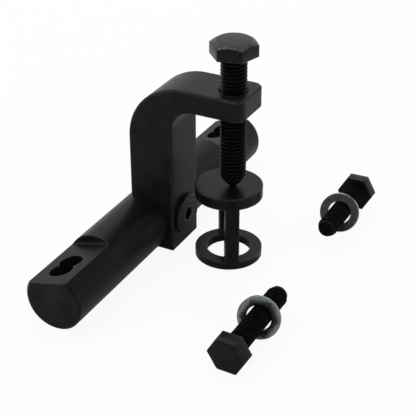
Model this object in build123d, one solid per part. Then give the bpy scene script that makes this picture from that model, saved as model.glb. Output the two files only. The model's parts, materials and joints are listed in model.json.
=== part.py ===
from build123d import *
from math import asin, cos, degrees, radians, sin, sqrt, tan
import os

# Bolt-on valve spring compressor, in millimetres.
# Working frame: the bar's axis is the Y axis and the frame's middle plane is y = 0,
# +X points from the frame's leg to the force screw, +Z points up along the force screw.
# to_row_frame moves everything so that the origin is at the centre of the cage ring's
# lower face, where the tool meets the valve spring retainer.

# Mounting bar: round bar with a milled flat and a stepped pair of bolt holes at each end
BAR_DIAMETER = 23.0
BAR_LENGTH = 148.0
BAR_END_CHAMFER = 1.0
BAR_END_BULGE = 0.03       # of the slightly rounded chamfer over a straight one
FLAT_LENGTH = 29.6
FLAT_HEIGHT = 7.9          # from the bar's axis up to the flat
FLAT_CORNER_RADIUS = 1.2   # left by the cutter between the flat and its end wall
FLAT_ANGLE = 14.5          # that the flats are turned by, against the frame
BOLT_HOLE_CLEARANCE = 0.5  # radial, around the mounting bolt's shank
BOLT_HOLE_FROM_END = 9.5   # bar's end to the outer hole's centre
BOLT_HOLE_STEP = 6.45      # outer hole's centre to the overlapping inner one

# C-frame: one bent arm whose foot is a saddle on the bar
FRAME_WIDTH = 20.2
LEG_BEHIND_BAR = 5.1       # bar's axis to the leg's back face
SADDLE_WALL = 2.1          # bar's surface to the leg's inner face
FOOT_ABOVE_FLOOR = 0.9
ARM_UNDERSIDE = 51.2       # above the bar's axis
ARM_THICKNESS = 8.5
ARM_BEYOND_SCREW = 8.0     # force screw's axis to the arm's end face
BEND_OUTER_RADIUS = 23.3
BEND_INNER_RADIUS = 8.3
ARM_CORNER_RADIUS = 3.8
FRAME_EDGE_BREAK = 0.6
SADDLE_CLEARANCE = 0.03

# Frame screw: low-head socket screw through the saddle's wall into the bar
FRAME_SCREW_HEIGHT = 2.2   # above the bar's axis
FRAME_SCREW_DIAMETER = 8.0
FRAME_SCREW_LENGTH = 12.4  # under the head
FRAME_SCREW_HEAD_DIAMETER = 16.0
FRAME_SCREW_HEAD_HEIGHT = 1.5
FRAME_SCREW_HEAD_CHAMFER = 0.3
FRAME_SCREW_SOCKET = 5.0   # across flats
FRAME_SCREW_SOCKET_DEPTH = 3.2
FRAME_SCREW_HOLE_CLEARANCE = 0.4
TAPPED_HOLE_CLEARANCE = 0.05

# Force screw: hexagon-head screw with a bullet point
FORCE_SCREW_REACH = 34.4   # bar's axis to the screw's axis
FORCE_SCREW_DIAMETER = 10.0
FORCE_SCREW_LENGTH = 53.7  # under the head to the point
FORCE_SCREW_NECK_DIAMETER = 8.8
FORCE_SCREW_NECK_LENGTH = 1.5
FORCE_SCREW_HEX = 16.0     # across flats
FORCE_SCREW_HEAD_HEIGHT = 6.0
FORCE_SCREW_TOP_RATIO = 0.8  # top face's diameter over the width across flats
FORCE_SCREW_HEX_ANGLE = 14.8
POINT_LENGTH = 5.4
POINT_FLAT_RADIUS = 0.85
POINT_BULGE = 0.35         # of the point's arc over a straight cone
ARM_HOLE_CHAMFER = 0.7

# Spring cage: disc, two posts and a ring turned and milled from one round blank
CAGE_DIAMETER = 26.2
CAGE_DISC_THICKNESS = 4.6
CAGE_RING_HEIGHT = 3.4
CAGE_RING_BORE = 17.4
CAGE_POST_RELIEF = 0.25    # radial, between the posts above the ring
CAGE_POST_WIDTH = 5.4
CAGE_POST_ANGLE = -57.4    # from +X to the front post
CAGE_EDGE_BREAK = 0.3
CAGE_SHIFT_X = -2.0        # the loose cage stands a little off the screw's axis
CAGE_SHIFT_Y = 0.85
CAGE_TOP = 19.65           # above the bar's axis, where the screw's point touches it

# Mounting bolts and washers, lying on the floor beside the tool
BOLT_DIAMETER = 8.0
BOLT_LENGTH = 35.0         # under the head
BOLT_HEX = 13.0            # across flats
BOLT_HEAD_HEIGHT = 5.3
BOLT_TOP_RATIO = 1.02      # flat face's diameter over the width across flats
BOLT_TIP_CHAMFER = 0.8
WASHER_DIAMETER = 16.0
WASHER_BORE = 9.4
WASHER_THICKNESS = 1.5
WASHER_EDGE_BREAK = 0.2
WASHER_SAG = 0.05          # bolt's axis below the washer's centre
FRONT_BOLT_X = 65.7        # centre of the head's outer face, and where the bolt points
FRONT_BOLT_Y = -68.3
FRONT_BOLT_ANGLE = 87.6
FRONT_WASHER_REACH = 24.35 # along the bolt from the head's outer face
FRONT_WASHER_ANGLE = 99.0
FRONT_WASHER_LEAN_ANGLE = -16.3
REAR_BOLT_X = 63.6
REAR_BOLT_Y = 61.8
REAR_BOLT_ANGLE = 272.2
REAR_WASHER_REACH = 24.3
REAR_WASHER_ANGLE = 279.4
REAR_WASHER_LEAN_ANGLE = 19.5

# Hexagon heads: the top corners are turned away at this angle
HEX_CHAMFER_ANGLE = 30.0
HEX_CHAMFER_BULGE = 0.02   # of the slightly rounded chamfer over a straight one
BOLT_HEX_ANGLE = 30.0      # turns a flat of the lying bolt's head to the floor

BAR_RADIUS = BAR_DIAMETER / 2
FLOOR = -BAR_RADIUS
LEG_FRONT = BAR_RADIUS + SADDLE_WALL
LEG_BACK = -LEG_BEHIND_BAR
LEG_BOTTOM = FLOOR + FOOT_ABOVE_FLOOR
ARM_TOP = ARM_UNDERSIDE + ARM_THICKNESS
ARM_END = FORCE_SCREW_REACH + ARM_BEYOND_SCREW
CAGE_RADIUS = CAGE_DIAMETER / 2
CAGE_X = FORCE_SCREW_REACH + CAGE_SHIFT_X
CAGE_Y = CAGE_SHIFT_Y
CAGE_BOTTOM = FLOOR
CAGE_HEIGHT = CAGE_TOP - CAGE_BOTTOM


def to_row_frame(shape):
    """Return the shape in the frame whose origin is under the cage ring's centre."""
    return Pos(-CAGE_X, -CAGE_Y, -CAGE_BOTTOM) * shape


def hexagon_head(across_flats, height, top_ratio, turn):
    """Return a hexagon head standing on z = 0 with its top corners turned to a cone."""
    corner_radius = across_flats / sqrt(3)
    top_radius = across_flats * top_ratio / 2
    drop = (corner_radius - top_radius) * tan(radians(HEX_CHAMFER_ANGLE))
    prism = extrude(RegularPolygon(corner_radius, 6, rotation=turn), height)
    sides = Polyline((top_radius, height), (0, height), (0, 0), (corner_radius, 0),
                     (corner_radius, height - drop))
    rounded = SagittaArc((top_radius, height), (corner_radius, height - drop),
                         HEX_CHAMFER_BULGE)
    outline = make_face([*sides.edges(), rounded])
    return prism & revolve(Plane.XZ * outline, Axis.Z)


def mounting_bar():
    """Return the round bar with its end flats, bolt holes and tapped frame screw hole."""
    end = BAR_LENGTH / 2
    shoulder = end - BAR_END_CHAMFER
    end_radius = BAR_RADIUS - BAR_END_CHAMFER
    front_chamfer = SagittaArc((end_radius, -end), (BAR_RADIUS, -shoulder), -BAR_END_BULGE)
    rear_chamfer = SagittaArc((BAR_RADIUS, shoulder), (end_radius, end), -BAR_END_BULGE)
    outside = Line((BAR_RADIUS, -shoulder), (BAR_RADIUS, shoulder))
    inside = Polyline((end_radius, end), (0, end), (0, -end), (end_radius, -end))
    bar = revolve(make_face([front_chamfer, outside, rear_chamfer, *inside.edges()]), Axis.Y)
    flat_turn = Rot(0, -FLAT_ANGLE, 0)
    hole_radius = BOLT_DIAMETER / 2 + BOLT_HOLE_CLEARANCE
    for side in (-1, 1):
        above_flat = Box(2 * BAR_DIAMETER, 2 * FLAT_LENGTH, 2 * BAR_RADIUS)
        cutter_corners = above_flat.edges().filter_by(Axis.X).group_by(Axis.Z)[0]
        above_flat = fillet(cutter_corners, FLAT_CORNER_RADIUS)
        bar -= flat_turn * Pos(0, side * end, FLAT_HEIGHT + BAR_RADIUS) * above_flat
        for step in (0, BOLT_HOLE_STEP):
            along = side * (end - BOLT_HOLE_FROM_END - step)
            bar -= flat_turn * Pos(0, along, 0) * Cylinder(hole_radius, 2 * BAR_DIAMETER)
    hole_depth = FRAME_SCREW_LENGTH + TAPPED_HOLE_CLEARANCE
    tapped = Cylinder(FRAME_SCREW_DIAMETER / 2 + TAPPED_HOLE_CLEARANCE, hole_depth,
                      align=(Align.CENTER, Align.CENTER, Align.MIN))
    return bar - Pos(LEG_FRONT, 0, FRAME_SCREW_HEIGHT) * Rot(0, -90, 0) * tapped


def c_frame():
    """Return the bent arm with its saddle, the force screw's hole and the screw hole."""
    profile = make_face(Polyline(
        (LEG_BACK, LEG_BOTTOM), (LEG_FRONT, LEG_BOTTOM), (LEG_FRONT, ARM_UNDERSIDE),
        (ARM_END, ARM_UNDERSIDE), (ARM_END, ARM_TOP), (LEG_BACK, ARM_TOP), close=True))
    outer_corner = profile.vertices().sort_by_distance((LEG_BACK, ARM_TOP, 0))[0]
    profile = fillet(outer_corner, BEND_OUTER_RADIUS)
    inner_corner = profile.vertices().sort_by_distance((LEG_FRONT, ARM_UNDERSIDE, 0))[0]
    profile = fillet(inner_corner, BEND_INNER_RADIUS)
    frame = extrude(Plane.XZ * profile, FRAME_WIDTH / 2, both=True)
    end_corners = frame.edges().filter_by(Axis.Z).group_by(Axis.X)[-1]
    frame = fillet(end_corners, ARM_CORNER_RADIUS)
    frame = chamfer(frame.edges(), FRAME_EDGE_BREAK)
    frame -= Rot(90, 0, 0) * Cylinder(BAR_RADIUS + SADDLE_CLEARANCE, 2 * FRAME_WIDTH)
    frame -= Box(BAR_RADIUS, 2 * FRAME_WIDTH, BAR_RADIUS,
                 align=(Align.MAX, Align.CENTER, Align.MAX))
    hole_radius = FORCE_SCREW_DIAMETER / 2 + TAPPED_HOLE_CLEARANCE
    arm_middle = (ARM_UNDERSIDE + ARM_TOP) / 2
    frame -= Pos(FORCE_SCREW_REACH, 0, arm_middle) * Cylinder(hole_radius, 2 * ARM_THICKNESS)
    mouth = Cone(hole_radius + ARM_HOLE_CHAMFER, hole_radius, ARM_HOLE_CHAMFER,
                 align=(Align.CENTER, Align.CENTER, Align.MIN))
    frame -= Pos(FORCE_SCREW_REACH, 0, ARM_UNDERSIDE) * mouth
    frame -= Pos(FORCE_SCREW_REACH, 0, ARM_TOP) * Rot(180, 0, 0) * mouth
    clearance_hole = Cylinder(FRAME_SCREW_DIAMETER / 2 + FRAME_SCREW_HOLE_CLEARANCE,
                              2 * BAR_RADIUS)
    return frame - Pos(LEG_FRONT, 0, FRAME_SCREW_HEIGHT) * Rot(0, 90, 0) * clearance_hole


def frame_screw():
    """Return the low-head socket screw that holds the C-frame on the bar."""
    head = Cylinder(FRAME_SCREW_HEAD_DIAMETER / 2, FRAME_SCREW_HEAD_HEIGHT,
                    align=(Align.CENTER, Align.CENTER, Align.MIN))
    head = chamfer(head.edges().group_by(Axis.Z)[-1], FRAME_SCREW_HEAD_CHAMFER)
    shank = Cylinder(FRAME_SCREW_DIAMETER / 2, FRAME_SCREW_LENGTH,
                     align=(Align.CENTER, Align.CENTER, Align.MAX))
    socket = extrude(RegularPolygon(FRAME_SCREW_SOCKET / 2, 6, major_radius=False),
                     -FRAME_SCREW_SOCKET_DEPTH)
    screw = head + shank - Pos(0, 0, FRAME_SCREW_HEAD_HEIGHT) * socket
    return Pos(LEG_FRONT, 0, FRAME_SCREW_HEIGHT) * Rot(0, 90, 0) * screw


def force_screw():
    """Return the hexagon-head screw with its bullet point down on the cage's disc."""
    radius = FORCE_SCREW_DIAMETER / 2
    neck_radius = FORCE_SCREW_NECK_DIAMETER / 2
    neck_start = FORCE_SCREW_LENGTH - FORCE_SCREW_NECK_LENGTH
    outline = Polyline(
        (POINT_FLAT_RADIUS, 0), (0, 0), (0, FORCE_SCREW_LENGTH),
        (neck_radius, FORCE_SCREW_LENGTH), (neck_radius, neck_start),
        (radius, neck_start), (radius, POINT_LENGTH))
    ogive = SagittaArc((POINT_FLAT_RADIUS, 0), (radius, POINT_LENGTH), -POINT_BULGE)
    shank = revolve(Plane.XZ * make_face([*outline.edges(), ogive]), Axis.Z)
    head = hexagon_head(FORCE_SCREW_HEX, FORCE_SCREW_HEAD_HEIGHT, FORCE_SCREW_TOP_RATIO,
                        FORCE_SCREW_HEX_ANGLE)
    screw = shank + Pos(0, 0, FORCE_SCREW_LENGTH) * head
    return Pos(FORCE_SCREW_REACH, 0, CAGE_TOP) * screw


def spring_cage():
    """Return the cage: a pressure disc and a ring joined by two posts."""
    blank = Cylinder(CAGE_RADIUS, CAGE_HEIGHT, align=(Align.CENTER, Align.CENTER, Align.MIN))
    blank = chamfer(blank.edges().filter_by(GeomType.CIRCLE), CAGE_EDGE_BREAK)
    window_height = CAGE_HEIGHT - CAGE_DISC_THICKNESS - CAGE_RING_HEIGHT
    blank -= Cylinder(CAGE_RING_BORE / 2, CAGE_RING_HEIGHT,
                      align=(Align.CENTER, Align.CENTER, Align.MIN))
    blank -= Pos(0, 0, CAGE_RING_HEIGHT) * Cylinder(
        CAGE_RING_BORE / 2 + CAGE_POST_RELIEF, window_height,
        align=(Align.CENTER, Align.CENTER, Align.MIN))
    window = Pos(0, 0, CAGE_RING_HEIGHT) * (
        Cylinder(CAGE_DIAMETER, window_height, align=(Align.CENTER, Align.CENTER, Align.MIN))
        - Box(2 * CAGE_DIAMETER, CAGE_POST_WIDTH, window_height,
              align=(Align.CENTER, Align.CENTER, Align.MIN)))
    return Pos(CAGE_X, CAGE_Y, CAGE_BOTTOM) * Rot(0, 0, CAGE_POST_ANGLE) * (blank - window)


def hexagon_bolt():
    """Return a mounting bolt along +Z with the head's outer face on z = 0, a flat down."""
    head = Pos(0, 0, BOLT_HEAD_HEIGHT) * Rot(180, 0, 0) * hexagon_head(
        BOLT_HEX, BOLT_HEAD_HEIGHT, BOLT_TOP_RATIO, BOLT_HEX_ANGLE)
    shank = Cylinder(BOLT_DIAMETER / 2, BOLT_LENGTH,
                     align=(Align.CENTER, Align.CENTER, Align.MIN))
    shank = chamfer(shank.edges().group_by(Axis.Z)[-1], BOLT_TIP_CHAMFER)
    return head + Pos(0, 0, BOLT_HEAD_HEIGHT) * shank


def flat_washer():
    """Return a washer around +Z, centred on the origin."""
    washer = Cylinder(WASHER_DIAMETER / 2, WASHER_THICKNESS)
    washer = chamfer(washer.edges(), WASHER_EDGE_BREAK)
    return washer - Cylinder(WASHER_BORE / 2, 2 * WASHER_THICKNESS)


def pointing(turn, tilt):
    """Return the rotation that takes +Z to a direction by its compass turn and tilt."""
    return Rot(0, 0, turn) * Rot(0, 90 - tilt, 0)


def washer_height(lean):
    """Return the height of a leaning washer's centre when its rim rests on the floor."""
    lean = abs(radians(lean))
    return FLOOR + WASHER_DIAMETER / 2 * cos(lean) + WASHER_THICKNESS / 2 * sin(lean)


def lying_set(x, y, turn, reach, washer_turn, washer_lean):
    """Return a bolt with its head on the floor and its shank held up by its washer."""
    head_height = FLOOR + BOLT_HEX / 2
    centre_height = washer_height(washer_lean)
    tilt = degrees(asin((centre_height - WASHER_SAG - head_height) / reach))
    bolt_place = Pos(x, y, head_height) * pointing(turn, tilt)
    along = (bolt_place * Pos(0, 0, reach)).position
    washer_place = Pos(along.X, along.Y, centre_height) * pointing(washer_turn, washer_lean)
    return bolt_place * hexagon_bolt(), washer_place * flat_washer()


if __name__ == "__main__":
    front_bolt, front_washer = lying_set(
        FRONT_BOLT_X, FRONT_BOLT_Y, FRONT_BOLT_ANGLE,
        FRONT_WASHER_REACH, FRONT_WASHER_ANGLE, FRONT_WASHER_LEAN_ANGLE)
    rear_bolt, rear_washer = lying_set(
        REAR_BOLT_X, REAR_BOLT_Y, REAR_BOLT_ANGLE,
        REAR_WASHER_REACH, REAR_WASHER_ANGLE, REAR_WASHER_LEAN_ANGLE)
    nodes = {
        "mounting_bar": mounting_bar(),
        "c_frame": c_frame(),
        "frame_screw": frame_screw(),
        "force_screw": force_screw(),
        "spring_cage": spring_cage(),
        "mounting_bolt_front": front_bolt,
        "washer_front": front_washer,
        "mounting_bolt_rear": rear_bolt,
        "washer_rear": rear_washer,
    }
    os.makedirs("parts", exist_ok=True)
    for name, shape in nodes.items():
        export_step(to_row_frame(shape), f"parts/{name}.step")
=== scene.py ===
"""Looks of a bolt-on valve spring compressor: black oxide steel, threads, zinc washers."""

import json
import logging
import math
from dataclasses import dataclass
from enum import Enum
from typing import Any, ClassVar

import bmesh
import bpy
from mathutils import Matrix, Vector


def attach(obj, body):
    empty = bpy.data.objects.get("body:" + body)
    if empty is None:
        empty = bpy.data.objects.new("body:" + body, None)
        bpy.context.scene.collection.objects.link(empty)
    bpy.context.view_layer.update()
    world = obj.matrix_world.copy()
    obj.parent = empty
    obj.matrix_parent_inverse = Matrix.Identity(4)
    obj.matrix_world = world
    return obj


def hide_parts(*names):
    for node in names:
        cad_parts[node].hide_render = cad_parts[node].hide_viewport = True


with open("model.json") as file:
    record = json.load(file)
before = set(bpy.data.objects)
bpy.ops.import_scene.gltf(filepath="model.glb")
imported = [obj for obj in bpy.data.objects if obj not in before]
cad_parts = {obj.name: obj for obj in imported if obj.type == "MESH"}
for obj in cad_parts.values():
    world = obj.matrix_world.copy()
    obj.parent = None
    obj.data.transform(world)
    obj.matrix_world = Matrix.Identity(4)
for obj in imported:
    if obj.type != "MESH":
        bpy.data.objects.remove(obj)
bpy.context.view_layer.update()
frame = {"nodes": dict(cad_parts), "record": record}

logging.basicConfig(level=logging.INFO, format="%(message)s")
LOG = logging.getLogger("compressor")

Place = tuple[float, float, float]
Span = tuple[float, float]

MM = 0.001
HEX_SIDES = 6
SHARP_ANGLE = math.radians(28.0)
WHITE = "#ffffff"

# The sheen of oiled threads and heads, where the skin is thin and where it is thick.
OILED_COOL = "#eef2ff"
OILED_WARM = "#fff8f2"

# The sRGB standard's curve from a screen value to linear light.
BYTE_MAX = 255
SRGB_KNEE = 0.04045
SRGB_SLOPE = 12.92
SRGB_OFFSET = 0.055
SRGB_POWER = 2.4

# A Mix node's sockets for colours, which bear the same names as those for numbers.
MIX_A = 6
MIX_B = 7
MIX_RESULT = 2

# Rays for each reading of a surface's neighbourhood.
RAY_SAMPLES = 8


def linear(hex_colour: str) -> tuple[float, float, float, float]:
    """Turn an sRGB hex colour into the linear values that Blender's sockets take.

    Args:
        hex_colour: A colour such as "#2b2b2c".

    Returns:
        Linear red, green and blue, and an alpha of 1.
    """
    parts = [int(hex_colour[i:i + 2], 16) / BYTE_MAX for i in (1, 3, 5)]
    red, green, blue = (
        part / SRGB_SLOPE if part <= SRGB_KNEE
        else ((part + SRGB_OFFSET) / (1 + SRGB_OFFSET)) ** SRGB_POWER for part in parts)
    return red, green, blue, 1.0


def add_node(tree: bpy.types.NodeTree, kind: str, inputs: dict[str | int, Any] | None = None,
             **settings: Any) -> bpy.types.Node:
    """Add a node with its settings, its input values and its links.

    Args:
        tree: The node tree that takes the node.
        kind: The node's type name.
        inputs: Input name or number, with a value or an output socket to link from.
        **settings: Attributes of the node.

    Returns:
        The new node.
    """
    node = tree.nodes.new(kind)
    for name, value in settings.items():
        setattr(node, name, value)
    for key, value in (inputs or {}).items():
        if isinstance(value, bpy.types.NodeSocket):
            tree.links.new(value, node.inputs[key])
        else:
            node.inputs[key].default_value = value
    return node


def set_stops(ramp: bpy.types.Node, places: Span, tones: tuple[str, str]) -> None:
    """Move a colour ramp's two stops and give them their tones.

    Args:
        ramp: The colour ramp's node.
        places: Where the stops stand, from 0 to 1.
        tones: The stops' sRGB hex colours.
    """
    for stop, place, tone in zip(ramp.color_ramp.elements, places, tones):
        stop.position = place
        stop.color = linear(tone)


def worked_surface(tree: bpy.types.NodeTree, grain: bpy.types.NodeSocket, grain_mm: float,
                   edge_mm: float) -> bpy.types.NodeSocket:
    """Give the normals of a surface with a fine grain and finely broken edges.

    Args:
        tree: The material's node tree.
        grain: The grain's pattern, from 0 to 1.
        grain_mm: The grain's height.
        edge_mm: The broken edges' radius.

    Returns:
        The socket with the normals.
    """
    broken = add_node(tree, "ShaderNodeBevel", {
        "Radius": edge_mm * MM}, samples=RAY_SAMPLES)
    bump = add_node(tree, "ShaderNodeBump", {
        "Distance": grain_mm * MM, "Height": grain, "Normal": broken.outputs["Normal"]})
    return bump.outputs["Normal"]


def new_material(name: str) -> bpy.types.Material:
    """Make a material with an empty node tree.

    Args:
        name: The material's name.

    Returns:
        The new material.
    """
    material = bpy.data.materials.new(name)
    material.use_nodes = True
    material.node_tree.nodes.clear()
    return material


def mount(name: str) -> tuple[Vector, Vector]:
    """Give the place and the unit axis of one of the record's mounts, in metres."""
    found = next(m for m in frame["record"]["mounts"] if m["name"] == name)
    return Vector(found["pos_m"]), Vector(found["axis"]).normalized()


def dress(node: str, material: bpy.types.Material) -> bpy.types.Object:
    """Put one material in all the slots of a CAD node.

    Args:
        node: The CAD node's name.
        material: Its finish.

    Returns:
        The CAD node's object.
    """
    obj = frame["nodes"][node]
    if not obj.data.materials:
        obj.data.materials.append(material)
    for index in range(len(obj.data.materials)):
        obj.data.materials[index] = material
    return obj


class Lay(Enum):
    """How a steel surface was worked before it was blackened, as a stretch of the grain."""

    GROUND_ALONG_Y = (1.0, 0.03, 1.0)
    TURNED_ABOUT_Z = (0.05, 0.05, 1.0)
    FORGED = (1.0, 1.0, 1.0)


class Side(Enum):
    """Which end of the bar a loose bolt lies nearest to."""

    FRONT = "front"
    REAR = "rear"


@dataclass(frozen=True)
class BlackOxide:
    """Steel blackened in hot caustic salts and oiled: a thin, near black iron oxide skin.

    The skin is warm and dark when looked at squarely and reflects much more at a grazing
    angle, so upright faces stay brown-black and the tops catch the room. Its sheen drifts
    between cool and warm with the skin's thickness. It follows the steel under it, so
    grinding and rolling lines show as a fine grain, and it rubs through at handled edges.
    The real grain is under 0.1 mm wide and is drawn several times as coarse, to show.
    """

    name: str
    dark: str
    light: str
    roughness: float
    specular: float
    patch_mm: float
    grain_mm: float
    grain_height_mm: float
    lay: Lay = Lay.FORGED
    edge_mm: float = 0.3
    rub_mm: float = 0.8
    reach_mm: float = 3.0
    speck_mm: float = 0.7
    burnish: float = 0.0
    wear: float = 0.0
    steel: str = "#a8a49c"
    cool_sheen: str = "#e0ecff"
    warm_sheen: str = "#ffe9d8"

    # Shares of the patches' noise between which the skin, its tint and its gloss change.
    SKIN_SPAN: ClassVar[Span] = (0.36, 0.64)
    TINT_SPAN: ClassVar[Span] = (0.42, 0.62)
    GLOSS_SPAN: ClassVar[Span] = (0.3, 0.7)
    GLOSS_SPREAD: ClassVar[float] = 0.04
    PATCH_DETAIL: ClassVar[float] = 5.0
    PATCH_ROUGHNESS: ClassVar[float] = 0.6
    GRAIN_DETAIL: ClassVar[float] = 3.0
    SPECK_DETAIL: ClassVar[float] = 2.0
    # Shares of rays that meet no face: near an edge few do into the steel, and near an
    # open one most do out of it.
    EDGE_SPAN: ClassVar[Span] = (0.9, 0.65)
    OPEN_SPAN: ClassVar[Span] = (0.6, 0.85)
    BARE_SPAN: ClassVar[Span] = (0.52, 0.66)

    def build(self) -> bpy.types.Material:
        """Make the material from Object coordinates.

        Returns:
            The new material.
        """
        material = new_material(self.name)
        tree = material.node_tree
        place = add_node(tree, "ShaderNodeTexCoord").outputs["Object"]
        patches = self._patches(tree, place)
        skin = add_node(tree, "ShaderNodeValToRGB", {"Fac": patches})
        set_stops(skin, self.SKIN_SPAN, (self.dark, self.light))
        tint = add_node(tree, "ShaderNodeValToRGB", {"Fac": patches})
        set_stops(tint, self.TINT_SPAN, (self.cool_sheen, self.warm_sheen))
        gloss = add_node(tree, "ShaderNodeMapRange", {
            "Value": patches, "From Min": self.GLOSS_SPAN[0], "From Max": self.GLOSS_SPAN[1],
            "To Min": self.roughness - self.GLOSS_SPREAD,
            "To Max": self.roughness + self.GLOSS_SPREAD})
        stretched = add_node(tree, "ShaderNodeMapping", {
            "Vector": place, "Scale": Vector(self.lay.value) / (self.grain_mm * MM)})
        grain = add_node(tree, "ShaderNodeTexNoise", {
            "Vector": stretched.outputs["Vector"], "Scale": 1.0,
            "Detail": self.GRAIN_DETAIL})
        rubbed = self._rubbed(tree, place)
        colour = add_node(tree, "ShaderNodeMix", {
            "Factor": rubbed, MIX_A: skin.outputs["Color"], MIX_B: linear(self.steel)},
            data_type="RGBA")
        shader = add_node(tree, "ShaderNodeBsdfPrincipled", {
            "Base Color": colour.outputs[MIX_RESULT], "Metallic": rubbed,
            "Roughness": gloss.outputs["Result"], "Specular IOR Level": self.specular,
            "Specular Tint": tint.outputs["Color"],
            "Normal": worked_surface(tree, grain.outputs["Fac"], self.grain_height_mm,
                                     self.edge_mm)})
        add_node(tree, "ShaderNodeOutputMaterial", {"Surface": shader.outputs["BSDF"]})
        return material

    def _patches(self, tree: bpy.types.NodeTree,
                 place: bpy.types.NodeSocket) -> bpy.types.NodeSocket:
        """Give the soft patches in which the skin's thickness drifts along the lay.

        They are stretched by the square root of what the grain is stretched by.

        Args:
            tree: The material's node tree.
            place: The Object coordinates.

        Returns:
            The socket with the patches, from 0 to 1.
        """
        streaked = add_node(tree, "ShaderNodeMapping", {
            "Vector": place, "Scale": Vector(
                math.sqrt(share) / (self.patch_mm * MM) for share in self.lay.value)})
        return add_node(tree, "ShaderNodeTexNoise", {
            "Vector": streaked.outputs["Vector"], "Scale": 1.0,
            "Detail": self.PATCH_DETAIL, "Roughness": self.PATCH_ROUGHNESS}).outputs["Fac"]

    def _rubbed(self, tree: bpy.types.NodeTree,
                place: bpy.types.NodeSocket) -> bpy.types.NodeSocket:
        """Give the share of bare steel: a speckled line along the outward edges.

        Edges that lie close to another surface, such as the saddle's, stay black.

        Args:
            tree: The material's node tree.
            place: The Object coordinates.

        Returns:
            The socket with the share of bare steel.
        """
        inside = add_node(tree, "ShaderNodeAmbientOcclusion", {
            "Distance": self.rub_mm * MM}, inside=True, only_local=True,
            samples=RAY_SAMPLES)
        edge = add_node(tree, "ShaderNodeMapRange", {
            "Value": inside.outputs["AO"], "From Min": self.EDGE_SPAN[0],
            "From Max": self.EDGE_SPAN[1]})
        around = add_node(tree, "ShaderNodeAmbientOcclusion", {
            "Distance": self.reach_mm * MM}, samples=RAY_SAMPLES)
        free = add_node(tree, "ShaderNodeMapRange", {
            "Value": around.outputs["AO"], "From Min": self.OPEN_SPAN[0],
            "From Max": self.OPEN_SPAN[1]})
        specks = add_node(tree, "ShaderNodeTexNoise", {
            "Vector": place, "Scale": 1 / (self.speck_mm * MM),
            "Detail": self.SPECK_DETAIL})
        bare = add_node(tree, "ShaderNodeMapRange", {
            "Value": specks.outputs["Fac"], "From Min": self.BARE_SPAN[0],
            "From Max": self.BARE_SPAN[1], "To Min": self.burnish, "To Max": self.wear})
        handled = add_node(tree, "ShaderNodeMath", {
            0: edge.outputs["Result"], 1: free.outputs["Result"]}, operation="MULTIPLY")
        return add_node(tree, "ShaderNodeMath", {
            0: handled.outputs[0], 1: bare.outputs["Result"]},
            operation="MULTIPLY").outputs[0]


@dataclass(frozen=True)
class ZincPlate:
    """Punched steel, zinc plated and passivated: a smooth dull metal with a cool cast.

    The passivation clouds it in soft patches about a millimetre wide.
    """

    name: str = "zinc_plated_steel"
    dark: str = "#636765"
    light: str = "#808683"
    roughness: float = 0.14
    cloud_mm: float = 1.2
    grain_mm: float = 0.5
    grain_height_mm: float = 0.001
    edge_mm: float = 0.25

    CLOUD_SPAN: ClassVar[Span] = (0.3, 0.7)
    CLOUD_DETAIL: ClassVar[float] = 3.0
    GRAIN_DETAIL: ClassVar[float] = 2.0

    def build(self) -> bpy.types.Material:
        """Make the material from Object coordinates.

        Returns:
            The new material.
        """
        material = new_material(self.name)
        tree = material.node_tree
        place = add_node(tree, "ShaderNodeTexCoord").outputs["Object"]
        cloud = add_node(tree, "ShaderNodeTexNoise", {
            "Vector": place, "Scale": 1 / (self.cloud_mm * MM),
            "Detail": self.CLOUD_DETAIL})
        colour = add_node(tree, "ShaderNodeValToRGB", {"Fac": cloud.outputs["Fac"]})
        set_stops(colour, self.CLOUD_SPAN, (self.dark, self.light))
        grain = add_node(tree, "ShaderNodeTexNoise", {
            "Vector": place, "Scale": 1 / (self.grain_mm * MM),
            "Detail": self.GRAIN_DETAIL})
        shader = add_node(tree, "ShaderNodeBsdfPrincipled", {
            "Base Color": colour.outputs["Color"], "Metallic": 1.0,
            "Roughness": self.roughness,
            "Normal": worked_surface(tree, grain.outputs["Fac"], self.grain_height_mm,
                                     self.edge_mm)})
        add_node(tree, "ShaderNodeOutputMaterial", {"Surface": shader.outputs["BSDF"]})
        return material


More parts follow.
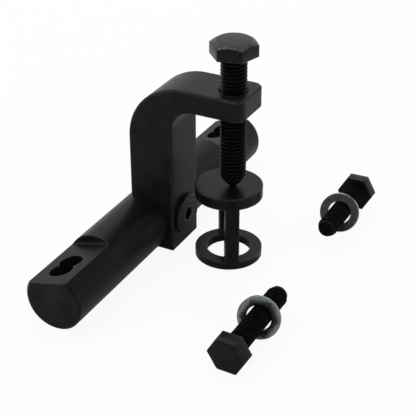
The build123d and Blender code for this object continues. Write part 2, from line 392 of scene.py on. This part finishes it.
@dataclass(frozen=True)
class ScrewThread:
    """A right-hand ISO metric outside thread, from its point up to a plain neck.

    The tree makes a grid of angle by height and winds it into a helix whose radius is the
    thread's profile, held down to the point's curve at one end and to the neck at the
    other. The bulge is how far the point's curve stands out from a straight cone halfway.
    Sizes are in metres.
    """

    crest_radius: float
    pitch: float
    length: float
    neck_length: float
    neck_radius: float
    point_length: float
    point_radius: float
    point_bulge: float
    segments: int = 64

    # One turn's corners, as shares of the pitch upwards and of the depth outwards. The
    # crest is an eighth of the pitch wide and the root a quarter.
    PROFILE: ClassVar[tuple[Span, ...]] = (
        (0.0, 0.0), (5 / 16, 1.0), (7 / 16, 1.0), (12 / 16, 0.0))
    # The standard's depth of an outside thread, over its pitch.
    DEPTH_RATIO: ClassVar[float] = 0.6134
    # Turns past each end, whose rows close the ends.
    SPARE_TURNS: ClassVar[int] = 2
    # Close enough to be one vertex, at the seam and on the ends.
    MERGE_DISTANCE: ClassVar[float] = 0.008 * MM
    INPUTS: ClassVar[tuple[str, ...]] = (
        "Crest Radius", "Depth", "Pitch", "Length", "Neck Length", "Neck Radius",
        "Point Length", "Point Radius", "Point Slope", "Point Curve")

    def values(self) -> tuple[float, ...]:
        """Work out the values of the tree's inputs.

        Returns:
            The sizes, in the order of INPUTS.
        """
        # Halfway up, the bulge is a quarter of its slope at the foot times the length.
        rise = (self.crest_radius - self.point_radius) / self.point_length
        arch = 4 * self.point_bulge / self.point_length
        return (self.crest_radius, self.DEPTH_RATIO * self.pitch, self.pitch, self.length,
                self.neck_length, self.neck_radius, self.point_length,
                self.point_radius, rise + arch, -arch / self.point_length)

    def mesh(self, material: bpy.types.Material) -> bpy.types.Mesh:
        """Wind the thread and give it as a plain mesh standing on its point.

        Args:
            material: The screw's finish.

        Returns:
            A closed mesh along +Z, with the point's flat at z = 0.
        """
        holder = bpy.data.objects.new("thread_blank", bpy.data.meshes.new("thread_blank"))
        bpy.context.scene.collection.objects.link(holder)
        modifier = holder.modifiers.new("thread", "NODES")
        modifier.node_group = self._tree(material)
        sockets = [item for item in modifier.node_group.interface.items_tree
                   if item.in_out == "INPUT"]
        for socket, value in zip(sockets, self.values()):
            modifier[socket.identifier] = value
        depsgraph = bpy.context.evaluated_depsgraph_get()
        mesh = bpy.data.meshes.new_from_object(holder.evaluated_get(depsgraph))
        holder.modifiers.clear()
        bpy.data.objects.remove(holder)
        return mesh

    def _tree(self, material: bpy.types.Material) -> bpy.types.NodeTree:
        """Build the geometry nodes.

        Args:
            material: The finish that the tree sets.

        Returns:
            The node group with its named inputs.
        """
        tree = bpy.data.node_groups.new("screw_thread", "GeometryNodeTree")
        for name in self.INPUTS:
            tree.interface.new_socket(name, in_out="INPUT", socket_type="NodeSocketFloat")
        tree.interface.new_socket(
            "Geometry", in_out="OUTPUT", socket_type="NodeSocketGeometry")
        sizes = add_node(tree, "NodeGroupInput").outputs
        turns = math.ceil(self.length / self.pitch) + 2 * self.SPARE_TURNS
        rows = turns * len(self.PROFILE)
        grid = add_node(tree, "GeometryNodeMeshGrid", {
            "Size X": 1.0, "Size Y": 1.0, "Vertices X": self.segments + 1,
            "Vertices Y": rows + 1})
        around, turned, bump = self._unwound(tree, rows)
        height = add_node(tree, "ShaderNodeMath", {
            0: turned, 1: sizes["Pitch"]}, operation="MULTIPLY").outputs[0]
        held = add_node(tree, "ShaderNodeClamp", {
            "Value": height, "Min": 0.0, "Max": sizes["Length"]}).outputs[0]
        radius = self._closed(tree, sizes["Pitch"], height, held,
                              self._radius(tree, sizes, held, bump))
        wound = add_node(tree, "GeometryNodeSetPosition", {
            "Geometry": grid.outputs["Mesh"],
            "Position": self._wound(tree, around, radius, held)})
        merged = add_node(tree, "GeometryNodeMergeByDistance", {
            "Geometry": wound.outputs[0], "Distance": self.MERGE_DISTANCE})
        smooth = add_node(tree, "GeometryNodeSetShadeSmooth", {
            "Geometry": merged.outputs[0]})
        real = add_node(tree, "GeometryNodeRealizeInstances", {
            "Geometry": smooth.outputs[0]})
        painted = add_node(tree, "GeometryNodeSetMaterial", {
            "Geometry": real.outputs[0], "Material": material})
        add_node(tree, "NodeGroupOutput", {0: painted.outputs[0]})
        return tree

    def _unwound(self, tree: bpy.types.NodeTree,
                 rows: int) -> tuple[bpy.types.NodeSocket, ...]:
        """Read where a point of the grid comes on the thread.

        The grid is 1 m square about the origin. Each row of it is a corner of the profile.

        Args:
            tree: The node tree.
            rows: How many rows of faces the grid has.

        Returns:
            The sockets with the share of a turn round the axis, the height in turns, and
            the share of the thread's depth.
        """
        corners = len(self.PROFILE)
        spot = add_node(tree, "ShaderNodeSeparateXYZ", {
            0: add_node(tree, "GeometryNodeInputPosition").outputs[0]})
        around = add_node(tree, "ShaderNodeMath", {
            0: spot.outputs["X"], 1: 1 / 2}, operation="ADD").outputs[0]
        up = add_node(tree, "ShaderNodeMath", {
            0: spot.outputs["Y"], 1: rows, 2: rows / 2}, operation="MULTIPLY_ADD")
        row = add_node(tree, "ShaderNodeMath", {0: up.outputs[0]}, operation="ROUND")
        turn = add_node(tree, "ShaderNodeMath", {
            0: row.outputs[0], 1: corners}, operation="DIVIDE")
        whole = add_node(tree, "ShaderNodeMath", {0: turn.outputs[0]}, operation="FLOOR")
        corner = add_node(tree, "ShaderNodeMath", {
            0: row.outputs[0], 1: corners}, operation="MODULO")
        shift, bump = (self._at_corner(tree, corner.outputs[0], shares)
                       for shares in zip(*self.PROFILE))
        level = add_node(tree, "ShaderNodeMath", {
            0: whole.outputs[0], 1: shift}, operation="ADD")
        climbed = add_node(tree, "ShaderNodeMath", {
            0: level.outputs[0], 1: around}, operation="ADD")
        turned = add_node(tree, "ShaderNodeMath", {
            0: climbed.outputs[0], 1: self.SPARE_TURNS}, operation="SUBTRACT")
        return around, turned.outputs[0], bump

    def _at_corner(self, tree: bpy.types.NodeTree, corner: bpy.types.NodeSocket,
                   shares: tuple[float, ...]) -> bpy.types.NodeSocket:
        """Give the share that belongs to a corner of the profile.

        Args:
            tree: The node tree.
            corner: The corner's number.
            shares: The shares of all the corners.

        Returns:
            The socket with the corner's share.
        """
        switch = add_node(tree, "GeometryNodeIndexSwitch", data_type="FLOAT")
        while len(switch.index_switch_items) < len(shares):
            switch.index_switch_items.new()
        tree.links.new(corner, switch.inputs[0])
        for number, share in enumerate(shares, 1):
            switch.inputs[number].default_value = share
        return switch.outputs[0]

    def _radius(self, tree: bpy.types.NodeTree, sizes: bpy.types.bpy_prop_collection,
                height: bpy.types.NodeSocket,
                bump: bpy.types.NodeSocket) -> bpy.types.NodeSocket:
        """Give the radius: the least of the thread's, the point's and the neck's.

        Args:
            tree: The node tree.
            sizes: The sockets of the tree's inputs.
            height: The height above the point's flat.
            bump: The share of the thread's depth.

        Returns:
            The socket with the radius.
        """
        root = add_node(tree, "ShaderNodeMath", {
            0: sizes["Crest Radius"], 1: sizes["Depth"]}, operation="SUBTRACT")
        profile = add_node(tree, "ShaderNodeMath", {
            0: bump, 1: sizes["Depth"], 2: root.outputs[0]}, operation="MULTIPLY_ADD")
        on_point = add_node(tree, "ShaderNodeMath", {
            0: height, 1: sizes["Point Length"]}, operation="MINIMUM").outputs[0]
        slope = add_node(tree, "ShaderNodeMath", {
            0: on_point, 1: sizes["Point Curve"], 2: sizes["Point Slope"]},
            operation="MULTIPLY_ADD")
        point = add_node(tree, "ShaderNodeMath", {
            0: slope.outputs[0], 1: on_point, 2: sizes["Point Radius"]},
            operation="MULTIPLY_ADD")
        neck_foot = add_node(tree, "ShaderNodeMath", {
            0: sizes["Length"], 1: sizes["Neck Length"]}, operation="SUBTRACT")
        to_neck = add_node(tree, "ShaderNodeMath", {
            0: neck_foot.outputs[0], 1: height}, operation="SUBTRACT")
        below_neck = add_node(tree, "ShaderNodeMath", {
            0: to_neck.outputs[0], 1: 0.0}, operation="MAXIMUM")
        neck = add_node(tree, "ShaderNodeMath", {
            0: below_neck.outputs[0], 1: sizes["Neck Radius"]}, operation="ADD")
        shank = add_node(tree, "ShaderNodeMath", {
            0: profile.outputs[0], 1: neck.outputs[0]}, operation="MINIMUM")
        return add_node(tree, "ShaderNodeMath", {
            0: shank.outputs[0], 1: point.outputs[0]}, operation="MINIMUM").outputs[0]

    def _closed(self, tree: bpy.types.NodeTree, pitch: bpy.types.NodeSocket,
                height: bpy.types.NodeSocket, held: bpy.types.NodeSocket,
                radius: bpy.types.NodeSocket) -> bpy.types.NodeSocket:
        """Shrink the rows that lie over half a pitch past an end to the axis.

        Args:
            tree: The node tree.
            pitch: The thread's pitch.
            height: The height that a row would have on an endless thread.
            held: The height, held between the two ends.
            radius: The thread's radius.

        Returns:
            The socket with the radius, which is 0 on the rows that close an end.
        """
        beyond = add_node(tree, "ShaderNodeMath", {
            0: height, 1: held}, operation="SUBTRACT")
        distance = add_node(tree, "ShaderNodeMath", {
            0: beyond.outputs[0]}, operation="ABSOLUTE")
        limit = add_node(tree, "ShaderNodeMath", {0: pitch, 1: 1 / 2}, operation="MULTIPLY")
        on_shank = add_node(tree, "ShaderNodeMath", {
            0: distance.outputs[0], 1: limit.outputs[0]}, operation="LESS_THAN")
        return add_node(tree, "ShaderNodeMath", {
            0: radius, 1: on_shank.outputs[0]}, operation="MULTIPLY").outputs[0]

    def _wound(self, tree: bpy.types.NodeTree, around: bpy.types.NodeSocket,
               radius: bpy.types.NodeSocket,
               height: bpy.types.NodeSocket) -> bpy.types.NodeSocket:
        """Turn a share of a turn, a radius and a height into a place.

        Args:
            tree: The node tree.
            around: The share of a turn round the axis.
            radius: The distance from the axis.
            height: The height above the point's flat.

        Returns:
            The socket with the place.
        """
        angle = add_node(tree, "ShaderNodeMath", {
            0: around, 1: math.tau}, operation="MULTIPLY")
        across = []
        for way in ("COSINE", "SINE"):
            share = add_node(tree, "ShaderNodeMath", {0: angle.outputs[0]}, operation=way)
            across.append(add_node(tree, "ShaderNodeMath", {
                0: share.outputs[0], 1: radius}, operation="MULTIPLY").outputs[0])
        return add_node(tree, "ShaderNodeCombineXYZ", {
            "X": across[0], "Y": across[1], "Z": height}).outputs[0]


@dataclass(frozen=True)
class HexagonHead:
    """A cold-headed hexagon whose top corners are turned away to a cone, in metres.

    The top ratio is the flat top's diameter over the width across flats. The sides and
    the top take the first of its finishes and the turned rim the second.
    """

    across_flats: float
    height: float
    top_ratio: float
    chamfer: float = math.radians(30.0)
    edge_radius: float = 0.14 * MM

    STEPS: ClassVar[int] = 16 * HEX_SIDES
    EDGE_SEGMENTS: ClassVar[int] = 2
    ROUND_PROFILE: ClassVar[float] = 0.5

    def mesh(self) -> bpy.types.Mesh:
        """Make the head with its underside on z = 0 and a corner on +X.

        Returns:
            A closed mesh.
        """
        shape = bmesh.new()
        rings = self._rings(shape)
        for step in range(self.STEPS):
            after = (step + 1) % self.STEPS
            for finish, (low, high) in enumerate(zip(rings, rings[1:])):
                face = shape.faces.new((low[step], low[after], high[after], high[step]))
                face.material_index = finish
        shape.faces.new(list(reversed(rings[0])))
        shape.faces.new(rings[-1])
        shape.normal_update()
        edges = [e for e in shape.edges if e.calc_face_angle(0.0) > SHARP_ANGLE]
        bmesh.ops.bevel(
            shape, geom=edges, offset=self.edge_radius, segments=self.EDGE_SEGMENTS,
            profile=self.ROUND_PROFILE, affect="EDGES", clamp_overlap=True)
        mesh = bpy.data.meshes.new("hexagon_head")
        shape.to_mesh(mesh)
        shape.free()
        return mesh

    def _rings(self, shape: bmesh.types.BMesh) -> list[list[bmesh.types.BMVert]]:
        """Set out the vertices round the underside, the sides' tops and the turned top.

        Args:
            shape: The mesh that takes the vertices.

        Returns:
            The three rings of vertices, from the lowest up.
        """
        flat_radius = self.across_flats / 2
        side = math.tau / HEX_SIDES
        rings: list[list[bmesh.types.BMVert]] = [[], [], []]
        for step in range(self.STEPS):
            angle = math.tau * step / self.STEPS
            reach = flat_radius / math.cos(angle % side - side / 2)
            rim = min(flat_radius * self.top_ratio, reach - self.edge_radius)
            drop = (reach - rim) * math.tan(self.chamfer)
            spots = ((reach, 0.0), (reach, self.height - drop), (rim, self.height))
            for ring, (radius, height) in zip(rings, spots):
                ring.append(shape.verts.new(
                    (radius * math.cos(angle), radius * math.sin(angle), height)))
        return rings


def joined(name: str, parts: list[tuple[bpy.types.Mesh, Matrix, list[bpy.types.Material]]],
           place: Matrix) -> bpy.types.Object:
    """Join meshes into one piece whose place is in its vertices.

    A part's faces take the finish of their number, or its last one, because a mesh from
    geometry nodes counts from an empty slot.

    Args:
        name: The piece's name.
        parts: The meshes, each with its place on the piece and its finishes.
        place: The piece's place in the part's frame.

    Returns:
        The new object, linked to the scene.
    """
    shape = bmesh.new()
    finishes: list[bpy.types.Material] = []
    for part, spot, materials in parts:
        part.transform(place @ spot)
        for polygon in part.polygons:
            finish = min(polygon.material_index, len(materials) - 1)
            polygon.material_index = len(finishes) + finish
            polygon.use_smooth = True
        shape.from_mesh(part)
        finishes += materials
    mesh = bpy.data.meshes.new(name)
    shape.to_mesh(mesh)
    shape.free()
    for material in finishes:
        mesh.materials.append(material)
    mesh.set_sharp_from_angle(angle=SHARP_ANGLE)
    obj = bpy.data.objects.new(name, mesh)
    bpy.context.scene.collection.objects.link(obj)
    return obj


@dataclass
class Tool:
    """The tool's own pieces whose CAD solids already have the real shape."""

    # Ground round bar: a satin black with long soft streaks.
    bar: BlackOxide = BlackOxide(
        name="black_oxide_ground_bar", dark="#100f0e", light="#1f1c19", roughness=0.36,
        specular=0.08, patch_mm=7.0, grain_mm=0.35, grain_height_mm=0.010,
        lay=Lay.GROUND_ALONG_Y, burnish=0.04, wear=0.15, cool_sheen="#d8e4ff",
        warm_sheen="#f8f4f0")
    # Bent forging: an even, dull black that is worn along its edges.
    arm: BlackOxide = BlackOxide(
        name="black_oxide_forged_arm", dark="#131212", light="#1c1b1a", roughness=0.36,
        specular=0.09, patch_mm=6.0, grain_mm=0.5, grain_height_mm=0.012, burnish=0.14,
        wear=0.5)
    # Turned cage: a smoother black with a fine grain round its axis.
    cage: BlackOxide = BlackOxide(
        name="black_oxide_turned_cage", dark="#0c0c0c", light="#141313", roughness=0.30,
        specular=0.10, patch_mm=5.0, grain_mm=0.3, grain_height_mm=0.006,
        lay=Lay.TURNED_ABOUT_Z, burnish=0.06, wear=0.2, warm_sheen="#fff6ee")

    def build(self) -> list[bpy.types.Object]:
        """Dress the bar, the arm with its screw, and the cage.

        Returns:
            The dressed pieces.
        """
        bar, arm, cage = self.bar.build(), self.arm.build(), self.cage.build()
        pieces = []
        for node, material, slot in (
                ("mounting_bar", bar, "bar_black_oxide"),
                ("c_frame", arm, "frame_black_oxide"),
                ("frame_screw", arm, "screw_black_oxide"),
                ("spring_cage", cage, "cage_black_oxide")):
            piece = dress(node, material)
            pieces.append(piece)
        return pieces


@dataclass
class ForceScrew:
    """The M10 screw that presses the cage down: hexagon head, thread, bullet point.

    Its point stops 0.02 mm above the disc, so the two don't cross while it turns.
    """

    # Rolled thread: nearly jet, partly painted shade where its flanks shade each other and
    # partly the oil they hold.
    rolled: BlackOxide = BlackOxide(
        name="black_oxide_rolled_thread_painted_shade", dark="#060606", light="#0c0b0b", roughness=0.3,
        specular=0.05, patch_mm=4.0, grain_mm=0.4, grain_height_mm=0.008, edge_mm=0.15,
        rub_mm=0.3, burnish=0.01, wear=0.08, cool_sheen=OILED_COOL, warm_sheen=OILED_WARM)
    # Cold-headed faces: smooth, with a sheen that drifts from blue to brown.
    smooth: BlackOxide = BlackOxide(
        name="black_oxide_headed_hexagon", dark="#0e0f11", light="#1b1917", roughness=0.3,
        specular=0.13, patch_mm=2.4, grain_mm=0.5, grain_height_mm=0.010, edge_mm=0.4,
        speck_mm=0.5, burnish=0.03, wear=0.2, cool_sheen="#d8e6ff", warm_sheen="#ffdcc6")
    # The rim that the wrench slips over: its grey, lighter than the faces, is painted
    # highlight, and it is worn bare in specks.
    rubbed: BlackOxide = BlackOxide(
        name="black_oxide_rim_wear_and_painted_highlight", dark="#303233", light="#4c4744", roughness=0.3,
        specular=0.12, patch_mm=2.5, grain_mm=0.5, grain_height_mm=0.010, edge_mm=0.4,
        rub_mm=2.5, speck_mm=0.9, wear=1.0)
    thread: ScrewThread = ScrewThread(
        crest_radius=5.0 * MM, pitch=1.5 * MM, length=53.68 * MM, neck_length=1.5 * MM,
        neck_radius=4.4 * MM, point_length=5.4 * MM, point_radius=0.85 * MM,
        point_bulge=0.55 * MM)
    head: HexagonHead = HexagonHead(
        across_flats=16.0 * MM, height=6.0 * MM, top_ratio=0.8)
    head_turn: float = math.radians(14.8)

    def build(self) -> list[bpy.types.Object]:
        """Make the screw in place of its plain CAD solid.

        Returns:
            The screw.
        """
        shank, crown, rim = self.rolled.build(), self.smooth.build(), self.rubbed.build()
        top, _ = mount("force_screw_head")
        place = Matrix.Translation(
            top - Vector((0, 0, self.thread.length + self.head.height)))
        on_shank = Matrix.Translation((0, 0, self.thread.length))
        screw = joined("force_screw_threaded", [
            (self.thread.mesh(shank), Matrix.Identity(4), [shank]),
            (self.head.mesh(), on_shank @ Matrix.Rotation(self.head_turn, 4, "Z"),
             [crown, rim])], place)
        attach(screw, "screw")
        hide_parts("force_screw")
        return [screw]


@dataclass
class MountingBolt:
    """A loose M8 bolt that lies on the floor with its washer on the shank.

    Its tip is turned down to a hollow cone, so that it finds its hole.
    """

    side: Side
    thread: ScrewThread = ScrewThread(
        crest_radius=4.0 * MM, pitch=1.25 * MM, length=35.0 * MM, neck_length=1.5 * MM,
        neck_radius=3.9 * MM, point_length=1.9 * MM, point_radius=3.2 * MM,
        point_bulge=-0.12 * MM)
    head: HexagonHead = HexagonHead(
        across_flats=13.0 * MM, height=5.3 * MM, top_ratio=1.10)
    head_turn: float = math.radians(30.0)

    def build(self, shank: bpy.types.Material, crown: bpy.types.Material,
              washer: bpy.types.Material) -> list[bpy.types.Object]:
        """Make the bolt in place of its plain CAD solid, and dress its washer.

        Args:
            shank: The thread's finish.
            crown: The head's finish.
            washer: The washer's finish.

        Returns:
            The bolt and its washer.
        """
        side = self.side.value
        tip, along = mount(f"{side}_bolt_thread")
        down = Vector((0, 0, -1))
        flat = (down - down.dot(along) * along).normalized()
        basis = Matrix((flat, along.cross(flat), along)).transposed().to_4x4()
        whole = self.thread.length + self.head.height
        place = Matrix.Translation(tip - whole * along) @ basis
        over = Matrix.Rotation(math.pi, 4, "X")
        bolt = joined(f"mounting_bolt_{side}_threaded", [
            (self.thread.mesh(shank), Matrix.Translation((0, 0, whole)) @ over, [shank]),
            (self.head.mesh(), Matrix.Translation((0, 0, self.head.height)) @ over
             @ Matrix.Rotation(self.head_turn, 4, "Z"), [crown])], place)
        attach(bolt, f"{side}_bolt")
        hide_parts(f"mounting_bolt_{side}")
        ring = dress(f"washer_{side}", washer)
        return [bolt, ring]


@dataclass
class LooseBolts:
    """The two bolts that hold the bar on an engine, lying beside it with their washers."""

    # Rolled thread, oiled: nearly jet, partly painted shade between its flanks and partly
    # the oil.
    shank: BlackOxide = BlackOxide(
        name="black_oxide_oiled_thread_painted_shade", dark="#060606", light="#0d0d0c", roughness=0.3,
        specular=0.03, patch_mm=3.0, grain_mm=0.4, grain_height_mm=0.008, edge_mm=0.15,
        rub_mm=0.3, burnish=0.02, wear=0.08, cool_sheen=OILED_COOL, warm_sheen=OILED_WARM)
    # Cold-headed and oiled: a smooth deep black.
    crown: BlackOxide = BlackOxide(
        name="black_oxide_oiled_head", dark="#080808", light="#110f0f", roughness=0.3,
        specular=0.11, patch_mm=3.0, grain_mm=0.4, grain_height_mm=0.008, burnish=0.02,
        wear=0.12, cool_sheen=OILED_COOL, warm_sheen=OILED_WARM)
    washer: ZincPlate = ZincPlate()

    def build(self) -> list[bpy.types.Object]:
        """Make the finishes once and build both bolts with them.

        Returns:
            The bolts and the washers.
        """
        finishes = self.shank.build(), self.crown.build(), self.washer.build()
        return [piece for side in Side for piece in MountingBolt(side).build(*finishes)]


@dataclass(frozen=True)
class SoftBox:
    """A square lamp that faces the object, with its place and side in metres."""

    name: str
    place: Place
    side: float
    watts: float

    def build(self) -> None:
        """Hang the lamp."""
        lamp = bpy.data.lights.new(self.name, "AREA")
        lamp.shape = "SQUARE"
        lamp.size = self.side
        lamp.energy = self.watts
        obj = bpy.data.objects.new(self.name, lamp)
        obj.location = self.place
        obj.rotation_euler = (-Vector(self.place)).to_track_quat("-Z", "Y").to_euler()
        bpy.context.scene.collection.objects.link(obj)


@dataclass
class Studio:
    """A pale floor, soft boxes and the camera at the photograph's viewing angle."""

    floor_size: float = 8.0
    floor_drop: float = 0.02 * MM
    floor_tone: str = "#f6f6f6"
    floor_glow: float = 0.92
    floor_glow_mirrored: float = 0.15
    world_glow: float = 0.55
    card_distance: float = 1.2
    card_width: float = 1.6
    card_bottom: float = 0.1
    card_top: float = 0.75
    card_tone: str = "#8c8c8c"
    lamps: tuple[SoftBox, ...] = (
        SoftBox("soft_box_above", (-0.25, 0.45, 0.85), side=0.7, watts=2.6),
        SoftBox("soft_box_left", (-0.9, -0.25, 0.55), side=0.5, watts=1.6),
        SoftBox("soft_box_right", (0.9, 0.35, 0.5), side=0.4, watts=1.0),
        SoftBox("soft_box_front", (-0.4, -0.5, 0.77), side=0.3, watts=1.0))
    camera_place: Place = (0.172841, -0.350802, 0.247049)
    azimuth: float = math.radians(27.412)
    elevation: float = math.radians(30.116)
    roll: float = math.radians(-0.113)
    lens: float = 100.763
    sensor: float = 36.0
    clip_start: float = 0.01

    def build(self) -> None:
        """Set the floor, the world, the lamps, the camera and the view transform."""
        self._floor()
        self._world()
        self._card()
        for lamp in self.lamps:
            lamp.build()
        self._camera()
        bpy.context.scene.view_settings.view_transform = "Standard"

    def _seen(self, tree: bpy.types.NodeTree) -> bpy.types.NodeSocket:
        """Tell camera, glossy and transmission rays from the others.

        Args:
            tree: The node tree of a material or of the world.

        Returns:
            The socket with 1 for those rays and 0 for the others.
        """
        rays = add_node(tree, "ShaderNodeLightPath").outputs
        pair = add_node(tree, "ShaderNodeMath", {
            0: rays["Is Camera Ray"], 1: rays["Is Glossy Ray"]}, operation="MAXIMUM")
        return add_node(tree, "ShaderNodeMath", {
            0: pair.outputs[0], 1: rays["Is Transmission Ray"]},
            operation="MAXIMUM").outputs[0]

    def _panel(self, name: str, corners: list[Place],
               material: bpy.types.Material) -> bpy.types.Object:
        """Set up a flat panel that is part of the stage.

        Args:
            name: The panel's name.
            corners: Its four corners, in order.
            material: Its finish.

        Returns:
            The panel's object.
        """
        mesh = bpy.data.meshes.new(name)
        mesh.from_pydata(corners, [], [tuple(range(len(corners)))])
        mesh.materials.append(material)
        panel = bpy.data.objects.new(name, mesh)
        bpy.context.scene.collection.objects.link(panel)
        return panel

    def _floor(self) -> None:
        """Lay the pale floor, which keeps a faint shadow of the object."""
        half = self.floor_size / 2
        low = -self.floor_drop
        material = new_material("pale_paper_floor")
        tree = material.node_tree
        paper = add_node(tree, "ShaderNodeBsdfDiffuse", {"Color": linear(self.floor_tone)})
        glow = add_node(tree, "ShaderNodeEmission", {"Strength": 1.0})
        mirrored = add_node(tree, "ShaderNodeLightPath").outputs["Is Glossy Ray"]
        level = add_node(tree, "ShaderNodeMapRange", {
            "Value": mirrored, "To Min": self.floor_glow,
            "To Max": self.floor_glow_mirrored})
        share = add_node(tree, "ShaderNodeMath", {
            0: self._seen(tree), 1: level.outputs[0]}, operation="MULTIPLY")
        mixed = add_node(tree, "ShaderNodeMixShader", {
            0: share.outputs[0], 1: paper.outputs[0], 2: glow.outputs[0]})
        add_node(tree, "ShaderNodeOutputMaterial", {"Surface": mixed.outputs[0]})
        self._panel("studio_floor", [
            (-half, -half, low), (half, -half, low), (half, half, low),
            (-half, half, low)], material)

    def _card(self) -> None:
        """Stand a dim card in front, which only mirror-like faces see."""
        half = self.card_width / 2
        away = -self.card_distance
        material = new_material("matt_grey_card")
        felt = add_node(material.node_tree, "ShaderNodeBsdfDiffuse", {
            "Color": linear(self.card_tone)})
        add_node(material.node_tree, "ShaderNodeOutputMaterial", {
            "Surface": felt.outputs[0]})
        card = self._panel("dim_card", [
            (-half, away, self.card_bottom), (half, away, self.card_bottom),
            (half, away, self.card_top), (-half, away, self.card_top)], material)
        for ray in ("camera", "diffuse", "shadow", "transmission"):
            setattr(card, f"visible_{ray}", False)

    def _world(self) -> None:
        """Light the object softly from all round, with white where it is seen."""
        world = bpy.data.worlds.new("studio")
        world.use_nodes = True
        tree = world.node_tree
        tree.nodes.clear()
        level = add_node(tree, "ShaderNodeMapRange", {
            "Value": self._seen(tree), "To Min": self.world_glow, "To Max": 1.0})
        light = add_node(tree, "ShaderNodeBackground", {
            "Color": linear(WHITE), "Strength": level.outputs[0]})
        add_node(tree, "ShaderNodeOutputWorld", {"Surface": light.outputs[0]})
        bpy.context.scene.world = world

    def _camera(self) -> None:
        """Set the camera where the photograph was taken from."""
        level, height = math.cos(self.elevation), math.sin(self.elevation)
        back = Vector((math.sin(self.azimuth) * level, -math.cos(self.azimuth) * level,
                       height))
        right = Vector((math.cos(self.azimuth), math.sin(self.azimuth), 0.0))
        up = back.cross(right)
        across = right * math.cos(self.roll) + up * math.sin(self.roll)
        upward = up * math.cos(self.roll) - right * math.sin(self.roll)
        camera = bpy.data.cameras.new("camera")
        camera.lens = self.lens
        camera.sensor_width = self.sensor
        camera.clip_start = self.clip_start
        obj = bpy.data.objects.new("camera", camera)
        turn = Matrix((across, upward, back)).transposed().to_4x4()
        obj.matrix_world = Matrix.Translation(self.camera_place) @ turn
        bpy.context.scene.collection.objects.link(obj)
        bpy.context.scene.camera = obj


def main() -> None:
    """Build the compressor, its loose bolts and washers, and the studio."""
    for assembly in (Tool(), ForceScrew(), LooseBolts()):
        for piece in assembly.build():
            LOG.info("%s: %d faces", piece.name, len(piece.data.polygons))
    Studio().build()


if __name__ == "__main__":
    main()
